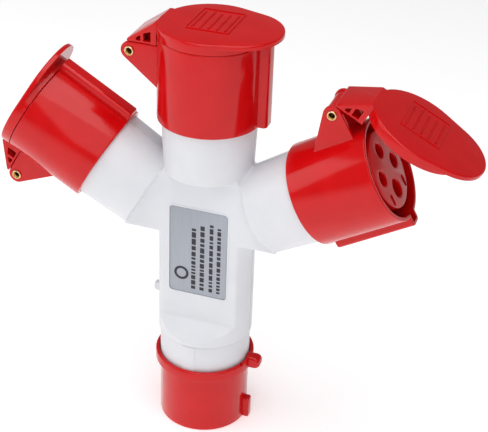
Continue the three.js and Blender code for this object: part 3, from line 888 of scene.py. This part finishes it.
def makePlug():
    low, high = nodeBox("plug_shroud")
    flangeRadius = high.y
    flangeHigh, shroudRadius, floor = plug["flangeHigh"], plug["shroudRadius"], plug["cupFloor"]
    inner = shroudRadius - plug["shroudWall"]
    cup = plug["neckRadius"] + 0.3
    flange = plug["flangeLow"]
    profile = roundCorners([
        (inner, low.z, 0.6), (shroudRadius, low.z, 0.9), (shroudRadius, flange - 1.4, 0.6),
        (flangeRadius, flange, 0.9), (flangeRadius, flangeHigh, 0.9), (cup, flangeHigh, 0.4), (cup, floor),
        (inner, floor, 0.4),
    ], 4)
    shroud = lathe("plug_shroud_fine", profile, 192)
    ribHalf = plug["ribWidth"] / 2
    rib = prism("rib", roundBox(inner + 1, plug["ribReach"], -ribHalf, ribHalf, 1.2), low.z,
                low.z + plug["ribLength"], "XY", 0.6, 1.6)
    root, foot, top, corner = plug["lugRoot"], plug["lugLow"], plug["lugHigh"], plug["lugCorner"]
    lugOutline = roundCorners([(root, foot), (high.x, foot, corner), (high.x, top, corner), (root, top)], 8)
    lugHalf, edge = plug["lugWidth"] / 2, plug["lugEdge"]
    lug = prism("lug", lugOutline, -lugHalf, lugHalf, "XZ", edge, edge)
    takeFrom(lug, rod("bore", cup, floor, 20), rod("bore", inner + 1, -20, 20))
    addTo(shroud, rib, lug)
    turn = Matrix.Rotation(math.radians(plug["notchAngle"]), 4, "Z")
    notchHalf, notchLow = plug["notchHalf"], flangeHigh - plug["notchDepth"]
    notch = roundBlock("notch", (cup - 1, -notchHalf, notchLow), (34, notchHalf, flangeHigh + 1), 0.3)
    takeFrom(shroud, setPlace(notch, turn))
    smoothShade(shroud)
    install(shroud, "housing", "red_plastic", red, "plug_shroud")

    spigot = trunkRadius - housing["wall"] - 0.4
    inside = spigot - plug["spigotWall"]
    bottom, top = plug["cupFloor"] + 0.3, trunkLow - 0.3
    neckRadius = plug["neckRadius"] - plug["neckStep"]
    neck = lathe("plug_neck_fine", roundCorners([
        (inside, bottom), (neckRadius, bottom, 0.4), (neckRadius, top, 0.5), (spigot, top),
        (spigot, trunkLow + plug["spigotHeight"], 0.5), (inside, trunkLow + plug["spigotHeight"]),
    ], 4), 192)
    takeFrom(neck, *flatCutters(housing["wall"] + 0.4))
    left, right = plug["tongue"]
    tongue = prism("tongue", roundBox(left, right, bottom + 0.2, top - 0.2, 0.6), -40, -20, "XZ")
    core, rim = neckRadius - 0.3, plug["neckRadius"]
    takeFrom(tongue, rod("core", core, -5, 40))
    takeFrom(tongue, lathe("shell", [(rim, -5), (60, -5), (60, 40), (rim, 40)], 192))
    addTo(neck, tongue)
    smoothShade(neck)
    install(neck, "housing", "white_housing_plastic", white, "plug_neck")

    low, high = nodeBox("plug_contact_carrier")
    disc = lathe("plug_contact_carrier_fine", roundCorners([
        (0, low.z), (high.x, low.z, 0.5), (high.x, high.z, 0.5), (0, high.z)], 3), 128, True)
    for pole, (_, radius) in contacts.items():
        hole = rod("hole", radius + 0.3, -1, 12, 48)
        takeFrom(disc, setPlace(hole, contactPlace(pole)))
        low, high = nodeBox("plug_pin_" + pole)
        shoulder = plug["carrierHeight"] + 0.3
        terminal = (high.x - low.x) / 2
        profile = [(0, low.z)] + [(radius * math.sin(t), low.z + radius * 0.8 * (1 - math.cos(t)))
                                  for t in [math.pi / 2 * i / 6 for i in range(1, 7)]]
        profile += [(radius, shoulder), (terminal, shoulder, 0.3), (terminal, high.z, 0.5), (0, high.z)]
        pin = lathe("plug_pin_" + pole + "_fine", roundCorners(profile, 3), 48, True)
        setPlace(pin, contactPlace(pole))
        smoothShade(pin, 40)
        install(pin, "housing", "nickel_plated_brass", metal["pin"], "plug_pin_" + pole)
    smoothShade(disc)
    install(disc, "housing", "red_plastic", red, "plug_contact_carrier")


makePlug()
print("plug made")

# sockets; heights run out along the arm from the crossing of the arms

socket = {
    "start": 73.5,
    "end": 123.5,
    "radius": 30.4,
    "wall": 2.3,
    "skirtRadius": 28.0,
    "webLow": 78.2,
    "grooveFloor": 80.7,
    "carrierRadius": 22.6,
    "keywayReach": 35.6,
    "keywayHalf": 5.2,
    "keywayWall": 1.7,
    "keywayFoot": 74.0,
    "earOuter": 13.0,
    "earInner": 10.5,
    "earRadius": 5.3,
    "earFoot": 91.0,
    "mouthChamfer": 0.9,
    "slotPlace": (13.6, 12.4),
    "slotSize": (7.2, 3.2),
}
rivet = {"shank": 1.9, "bore": 1.4, "head": 2.8, "headHeight": 0.7, "flare": 2.05, "lip": 2.5}
spring = {"radius": 3.55, "wire": 0.42, "turns": 6, "half": 3.7, "wallLeg": (-31.4, -10.5), "lidLeg": 12.5}
pivotX, pivotZ = topPivot.x, topPivot.z


def makeSocketBody():
    outside, skirt = socket["radius"], socket["skirtRadius"]
    start, end, floor = socket["start"], socket["end"], socket["grooveFloor"]
    bore = outside - socket["wall"]
    annulus = socket["carrierRadius"] + 0.3
    body = lathe("socket", roundCorners([
        (skirt, start, 0.5), (outside, start, 0.8), (outside, end, 0.6), (bore, end, 0.5), (bore, floor, 1.0),
        (annulus, floor), (annulus, socket["webLow"]), (skirt, socket["webLow"]),
    ], 4), 192)
    half = socket["keywayHalf"]
    coverOutline = roundBox(bore - 4, socket["keywayReach"], -half, half, 2.5, 8)
    cover = prism("cover", coverOutline, socket["keywayFoot"], end, "XY", 1.2, 0.5)
    takeFrom(cover, lathe("core", [(0, 60), (bore + 0.6, 60), (bore + 0.6, 140), (0, 140)], 192, True))
    addTo(body, cover)
    inside = half - socket["keywayWall"]
    channelOutline = roundBox(socket["carrierRadius"] + 2, socket["keywayReach"] - socket["keywayWall"],
                              -inside, inside, 0.8)
    takeFrom(body, prism("channel", channelOutline, socket["grooveFloor"], socket["end"] + 1))

    middle = socket["radius"] - socket["wall"] / 2
    root = -math.sqrt(middle ** 2 - socket["earInner"] ** 2) + 0.4
    top = pivotZ + socket["earRadius"]
    dx, dz = root - pivotX, socket["earFoot"] - pivotZ
    lean = math.degrees(math.atan2(dz, dx) - math.acos(socket["earRadius"] / math.hypot(dx, dz)))
    earOutline = [(root, socket["earFoot"]), (root, top)]
    earOutline += arcPoints(pivotX, pivotZ, socket["earRadius"], 90, lean + 360, 28)
    for side in (-1, 1):
        faces = sorted((side * socket["earInner"], side * socket["earOuter"]))
        addTo(body, prism("ear", earOutline, *faces, "XZ", 0.45, 0.45, 3))
    takeFrom(body, crossRod("hole", rivet["shank"] + 0.2, pivotX, pivotZ, -20, 20))
    installOnArms(body, "socket_body", "housing", "red_plastic", red, armPlace)


def makeCarrier():
    low, high = nodeBox("top_contact_carrier")
    foot, face = low.z - crossing, high.z - crossing
    flange, radius = high.x, socket["carrierRadius"]
    step = socket["webLow"] - 0.3
    disc = lathe("carrier", roundCorners([
        (0, foot), (flange, foot, 0.4), (flange, step, 0.3), (radius, step), (radius, face, 0.8), (0, face),
    ], 4), 160, True)
    for pole, (_, pin) in contacts.items():
        well = pin + 1.8
        flare = well + socket["mouthChamfer"]
        profile = [
            (0, foot - 1), (well, foot - 1), (well, face - 0.7), (flare - 0.2, face - 0.1),
            (flare, face + 0.5), (0, face + 0.5),
        ]
        takeFrom(disc, setPlace(lathe("well", profile, 64, True), contactPlace(pole)))
    x, reach = socket["slotPlace"][0], socket["slotSize"][0] / 2
    half = socket["slotSize"][1] / 2
    for side in (-1, 1):
        y = side * socket["slotPlace"][1]
        outline = roundBox(x - reach, x + reach, y - half, y + half, half - 0.01)
        takeFrom(disc, prism("slot", outline, face - 4, face + 1))
    installOnArms(disc, "contact_carrier", "housing", "red_plastic", red, armPlace)


def makeContacts():
    for pole, (_, pin) in contacts.items():
        low, high = nodeBox("top_contact_" + pole)
        foot, top = low.z - crossing, high.z - crossing
        inner, outer = pin + 0.3, pin + 1.5
        floor = top - 27
        sleeve = lathe("sleeve", roundCorners([
            (0, foot), (outer, foot, 0.3), (outer, top, 0.4), (inner, top, 0.4), (inner, floor), (0, floor),
        ], 3), 48, True)
        for turn in (0, 90):
            slit = roundBlock("slit", (-outer - 1, -0.35, top - 14), (outer + 1, 0.35, top + 1))
            takeFrom(sleeve, setPlace(slit, Matrix.Rotation(math.radians(turn + 45), 4, "Z")))
        setPlace(sleeve, contactPlace(pole))
        role = "contact_" + pole
        installOnArms(sleeve, role, "housing", "nickel_plated_brass", metal["pin"], armPlace, 40)


def makeRivets():
    end = socket["earOuter"] + 0.3 + rivet["headHeight"]
    seat = end - rivet["headHeight"]
    bore, flare, shank, head = rivet["bore"], rivet["flare"], rivet["shank"], rivet["head"]
    half = [
        (bore, end - 1.6, 0.4), (flare, end - 0.1, 0.2), (rivet["lip"], end, 0.3), (head, end - 0.3, 0.2),
        (head, seat, 0.1), (shank, seat),
    ]
    profile = half + [(corner[0], -corner[1], *corner[2:]) for corner in reversed(half)]
    pattern = setPlace(lathe("rivet", roundCorners(profile, 3), 64), ontoY(pivotX, pivotZ))
    installOnArms(pattern, "hinge_rivet", "housing", "rivet_brass", metal["rivet"], armPlace, 40)


def makeSpring(name, opened):
    # a torsion spring round the rivet: one leg lies on the socket's wall, the other under the lid's arm
    wallX, wallDrop = spring["wallLeg"]
    radius, half = spring["radius"], spring["half"]
    points = [(wallX, -half, pivotZ + wallDrop)]
    first, last = 20, 110 + opened
    turned = spring["turns"] * 360 + last - first
    steps = spring["turns"] * 32
    for i in range(steps + 1):
        angle = math.radians(first + turned * i / steps)
        across, up = radius * math.cos(angle), radius * math.sin(angle)
        points.append((pivotX + across, half * (2 * i / steps - 1), pivotZ + up))
    away = math.radians(last - 90)
    points.append((points[-1][0] + spring["lidLeg"] * math.cos(away), half,
                   points[-1][2] + spring["lidLeg"] * math.sin(away)))
    curve = bpy.data.curves.new(name, "CURVE")
    curve.dimensions = "3D"
    curve.bevel_depth = spring["wire"] * mm
    curve.bevel_resolution = 2
    curve.use_fill_caps = True
    path = curve.splines.new("POLY")
    path.points.add(len(points) - 1)
    for corner, (x, y, z) in zip(path.points, points):
        corner.co = (x * mm, y * mm, z * mm, 1)
    coil = bpy.data.objects.new(name + "_lid_spring_fine", curve)
    bpy.context.scene.collection.objects.link(coil)
    pick(coil)
    bpy.ops.object.convert(target="MESH")
    setPlace(coil, armPlace[name])
    smoothShade(coil, 60)
    coil.data.materials.clear()
    coil.data.materials.append(metal["spring"])
    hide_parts(name + "_lid_spring")
    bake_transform(coil)


makeSocketBody()
makeCarrier()
makeContacts()
makeRivets()
for armName in armNames:
    openedBy = -joints[armName + "_lid_hinge"]["range_deg"][0]
    makeSpring(armName, openedBy)
print("sockets made")

# lids, shaped closed

lid = {
    "low": 123.8,
    "high": 130.5,
    "plate": 3.7,
    "skirt": 1.2,
    "topEdge": 1.1,
    "tabReach": 41.2,
    "tipRadius": 26.0,
    "armHalf": 13.0,
    "slopeStart": 29.5,
    "tail": 45.5,
    "tailHeight": 7.0,
    "armWall": 2.0,
    "frame": (-12.0, 13.5, -11.0, 20.0),
    "frameLine": 0.7,
    "emboss": 0.5,
    "embossRows": 5,
    "barWidth": 1.3,
    "barLength": (0.6, 1.8),
    "barGap": 0.55,
    "web": 1.2,
    "nearWall": 0.8,
    "windows": ((0.3, 4.7), (6.4, 9.2)),
    "windowTop": 124.7,
    "saddleEnd": -27.0,
    "tabThickness": 3.4,
    "windowFoot": 1.2,
    "hood": (4.15, 4.55, 80, 215),
}
gasket = {"outer": 28.9, "inner": 24.4, "height": 2.7, "bead": 0.6}


def lidOutline(inset):
    # a circle drawn out towards the keyway into a smaller one, joined by their tangents
    radius, tip = socket["radius"] - inset, lid["tipRadius"] - inset
    tipMiddle = lid["tabReach"] - lid["tipRadius"]
    lean = math.degrees(math.acos((radius - tip) / tipMiddle))
    return arcPoints(tipMiddle, 0, tip, -lean, lean, 64) + arcPoints(0, 0, radius, lean, 360 - lean, 96)


def makeEmboss(top):
    # a thin raised frame with rows of generic bars
    left, right, front, back = lid["frame"]
    line, height = lid["frameLine"], lid["emboss"]
    frame = roundBox(left, right, front, back, 0.8, 3)
    outer = prism("lid_emboss", frame, top - 0.3, top + height, "XY", 0, 0.12, 2)
    takeFrom(outer, prism("inner", roundBox(left + line, right - line, front + line, back - line, 0.4, 3),
                          top - 1, top + 2))
    random.seed(11)
    pitch = (right - left - 2 * line) / lid["embossRows"]
    bars = []
    for row in range(lid["embossRows"]):
        x = left + line + pitch * (row + 0.5)
        y = front + 3.2
        end = back - 2.6 - random.uniform(0, 5)
        while y < end:
            length = min(random.uniform(*lid["barLength"]), end - y + 0.4)
            reach = lid["barWidth"] / 2
            outline = roundBox(x - reach, x + reach, y, y + length, 0.2, 2)
            bars.append(prism("bar", outline, top - 0.3, top + height * 0.9))
            y += length + lid["barGap"]
    return addTo(outer, joinAll(bars))


def makeLids():
    low, high = lid["low"], lid["high"] - lid["emboss"]
    body = prism("lid", lidOutline(0), low, high, "XY", 0.3, lid["topEdge"], 5)
    plateFoot = lid["high"] - lid["plate"]
    takeFrom(body, prism("pocket", lidOutline(lid["skirt"]), low - 1, plateFoot))
    tabFoot = lid["high"] - lid["tabThickness"]
    skirtOut, skirtIn = socket["radius"], socket["radius"] - lid["skirt"]
    under = prism("under", lidOutline(-1), low - 1, tabFoot)
    takeFrom(under, rod("core", skirtOut, low - 2, tabFoot + 1))
    takeFrom(body, under)
    skirtEdge, skirtTop = skirtOut - 0.01, tabFoot + 0.5
    skirt = [(skirtIn, low), (skirtEdge, low), (skirtEdge, skirtTop), (skirtIn, skirtTop)]
    addTo(body, lathe("skirt", skirt, 192))
    half, tail, slope = lid["armHalf"], -lid["tail"], -lid["slopeStart"]
    near = -(socket["radius"] + 0.4)
    inside = -(socket["radius"] - lid["skirt"] - 2)
    armLow = pivotZ + socket["earRadius"] + 0.4
    tailTop = pivotZ + lid["tailHeight"]
    wedge = prism("wedge", roundCorners([
        (inside, low), (near, low), (near, armLow), (tail, armLow, 0.6), (tail, tailTop, 1.2),
        (slope, high, 1.0), (inside, high),
    ], 4), -half, half, "XZ", 0.7, 0.7)
    rise = (high - tailTop) / (slope - tail)

    def innerTop(x):
        return tailTop + (x - tail) * rise - lid["armWall"] * math.hypot(1, rise)

    hollowNear, hollowTail = near - lid["nearWall"], tail + lid["armWall"] + 0.6
    hollowOutline = [
        (hollowNear, armLow - 1), (hollowNear, min(innerTop(hollowNear), high - lid["armWall"])),
        (hollowTail, max(innerTop(hollowTail), armLow + 0.1)), (hollowTail, armLow - 1),
    ]
    for side in (-1, 1):
        faces = sorted((side * lid["web"], side * (half - lid["armWall"])))
        takeFrom(wedge, prism("hollow", hollowOutline, *faces, "XZ"))
    takeFrom(wedge, rod("pocket", skirtIn, low - 1, plateFoot, 128))
    saddleStart, saddleEnd, saddleTop = near - 0.5, lid["saddleEnd"], low + 0.5
    saddle = prism("saddle", [
        (saddleStart, armLow), (saddleEnd, armLow), (saddleEnd, saddleTop), (saddleStart, saddleTop),
    ], -half, half, "XZ")
    takeFrom(saddle, rod("socket", socket["radius"] + 0.35, armLow - 1, low + 1))
    addTo(wedge, saddle)
    for x0, x1 in [(near - start, near - end) for start, end in lid["windows"]]:
        foot = armLow + lid["windowFoot"]
        top0, top1 = (min(innerTop(x), lid["windowTop"]) for x in (x0, x1))
        outline = roundCorners([(x0, foot, 0.3), (x0, top0, 0.3), (x1, top1, 0.3), (x1, foot, 0.3)], 3)
        for side in (-1, 1):
            faces = sorted((side * (lid["web"] + 1), side * (half + 1)))
            takeFrom(wedge, prism("window", outline, *faces, "XZ"))
    addTo(body, wedge)
    outer, barrelInner, barrelRadius = socket["earInner"] - 0.4, 4.5, 4.6
    for side in (-1, 1):
        faces = sorted((side * outer, side * barrelInner))
        barrel = crossRod("barrel", barrelRadius, pivotX, pivotZ, *faces)
        webEnd = (tail + barrelRadius + 1.5, faces[1] - 0.01, armLow + 1)
        addTo(barrel, roundBlock("web", (tail, faces[0] + 0.01, pivotZ), webEnd))
        addTo(body, barrel)
    inner, outer, start, end = lid["hood"]
    hood = arcPoints(pivotX, pivotZ, outer, start, end, 24)
    hood += arcPoints(pivotX, pivotZ, inner, end, start, 24)
    addTo(body, prism("hood", hood, -barrelInner - 0.3, barrelInner + 0.3, "XZ"))
    takeFrom(body, crossRod("bore", rivet["shank"] + 0.4, pivotX, pivotZ, -20, 20))
    addTo(body, makeEmboss(high))
    installOnArms(body, "lid", "{}_lid", "red_plastic", red, lidPlace)

    inner, outer = gasket["inner"], gasket["outer"]
    lip, top = low + gasket["bead"], low + gasket["height"]
    ring = lathe("gasket", roundCorners([
        (inner, lip, 0.4), (inner + 1.2, lip, 0.2), (inner + 1.6, low, 0.2), (outer - 1.6, low, 0.2),
        (outer - 1.2, lip, 0.2), (outer, lip, 0.3), (outer, top, 0.3), (inner, top, 0.4),
    ], 3), 160)
    installOnArms(ring, "lid_gasket", "{}_lid", "black_rubber", rubber, lidPlace)


makeLids()
print("lids made")

# conductors inside the housing keep their CAD shape

for pole, colour in wireColours.items():
    node = frame["nodes"]["conductor_" + pole]
    node.data.materials.clear()
    node.data.materials.append(makeWire(pole, colour))

print("finished")
